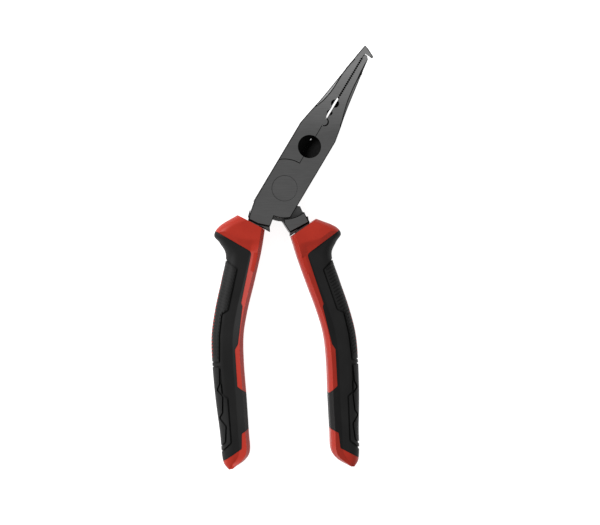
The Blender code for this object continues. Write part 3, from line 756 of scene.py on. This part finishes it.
# %% [markdown]
# ## Raised bumps on the finger pad
# The finger pad carries three long bumps for the fingers. Their inner edge runs in and out, and a groove
# follows it. We cut the groove with the same outline grown a little, then add the bumps a little higher.

# %% Bumps
BUMP_GROOVE = 0.5
BUMP_RISE = 0.35


def bump_steps(side):
    """The groove along the bumps, and the bumps themselves."""
    groove = handle_prism("groove", side, SCALLOP_OUTLINE, BUMP_GROOVE)
    below = handle_loft("below", side, PAD_TRAY + GROOVE_DEPTH, RIM_INSET)
    carve(groove, ("DIFFERENCE", below))
    bumps = level("bumps", side, SCALLOP_OUTLINE, -BUMP_GROOVE / 2, PAD_TRAY - BUMP_RISE)
    carve(bumps, ("INTERSECT", handle_prism("edge", side, FINGER_OUTLINE, -GROOVE_WIDTH)))
    return [("DIFFERENCE", groove), ("UNION", bumps)]


# %% Red ticks between the ribs, at the outer edge
TICK_OUTLINE = (
    (38.0, 26.7, 0), (56.5, 31.7, 0), (69.5, 34.3, 0), (82.0, 34.8, 0),
    (82.0, OUTSIDE, 0), (38.0, OUTSIDE, 0),
)
TICK_PROUD = 0.08
TICK_DEPTH = 0.8
TICK_WIDTH = 0.6


def make_ticks(word, side):
    """Where the hard core shows between two ribs at the outer edge, as a row half a pitch along."""
    ticks = level(f"{word}_grip_ticks", side, TICK_OUTLINE, 0.0, PAD_TRAY, -TICK_PROUD)
    first, last, middle, length = GRIP_ROW
    row = bar_row("tick_bars", side, first + RIB_PITCH / 2, last, middle, length, TICK_WIDTH, RED)
    inside = handle_loft("inside", side, PAD_TRAY, TICK_DEPTH)
    carve(ticks, ("INTERSECT", row), ("DIFFERENCE", inside))
    finish_piece(ticks, (RED,), BODY_OF[word], "red_hard_plastic")


# %% Pads with their patterns
for word, side in SIDES.items():
    make_pad(word, side, "grip", GRIP_OUTLINE, [("UNION", grip_ribs(side))])
    make_pad(word, side, "finger", FINGER_OUTLINE, bump_steps(side))
    make_ticks(word, side)

# %% [markdown]
# ## Stage, light and camera
# The tool lies on a pale floor and is seen from above, tipped a few degrees to its left. The light is a
# broad soft sky with one large soft panel at the upper left, so that slopes that face it are a little
# brighter.

# %% Floor
FLOOR_SIZE = 6.0
FLOOR_GLOW = 0.85


def make_floor():
    bpy.ops.mesh.primitive_plane_add(size=FLOOR_SIZE)
    floor = bpy.context.object
    floor.name = "floor"
    material, _, shader = new_finish("pale_floor", 0.9, specular=0.1)
    shader.inputs["Base Color"].default_value = (0.5, 0.5, 0.5, 1)
    shader.inputs["Emission Color"].default_value = (1, 1, 1, 1)
    shader.inputs["Emission Strength"].default_value = FLOOR_GLOW
    floor.data.materials.append(material)


make_floor()

# %% Light
SKY_STRENGTH = 0.6
PANEL_AT, PANEL_SIZE, PANEL_POWER = (-1.0, 0.55, 0.8), 0.7, 20.0

world = bpy.data.worlds.new("soft_sky")
world.use_nodes = True
sky = world.node_tree.nodes["Background"]
sky.inputs["Color"].default_value = (1, 1, 1, 1)
sky.inputs["Strength"].default_value = SKY_STRENGTH
bpy.context.scene.world = world
bpy.context.scene.view_settings.view_transform = "Standard"


def panel_light(name, place, size, power):
    light = bpy.data.lights.new(name, "AREA")
    light.size = size
    light.energy = power
    lamp = bpy.data.objects.new(name, light)
    bpy.context.scene.collection.objects.link(lamp)
    lamp.location = place
    lamp.rotation_euler = (-Vector(place)).to_track_quat("-Z", "Y").to_euler()


panel_light("upper_left_panel", PANEL_AT, PANEL_SIZE, PANEL_POWER)

# %% Camera
VIEW_TILT = math.radians(4.0)
VIEW_DISTANCE = 0.85
VIEW_WIDTH = 0.291  # how much of the tool's front plane the picture spans
TARGET = PIVOT + Vector((7.47, -35.99, 4.8)) * MM

camera = bpy.data.objects.new("camera", bpy.data.cameras.new("camera"))
bpy.context.scene.collection.objects.link(camera)
camera.data.sensor_width = 36.0
camera.data.lens = camera.data.sensor_width * VIEW_DISTANCE / VIEW_WIDTH
towards = Vector((-math.sin(VIEW_TILT), 0, math.cos(VIEW_TILT)))
camera.location = TARGET + towards * VIEW_DISTANCE
camera.rotation_euler = (0, -VIEW_TILT, 0)
bpy.context.scene.camera = camera
print("camera at", camera.location[:], "lens", camera.data.lens)
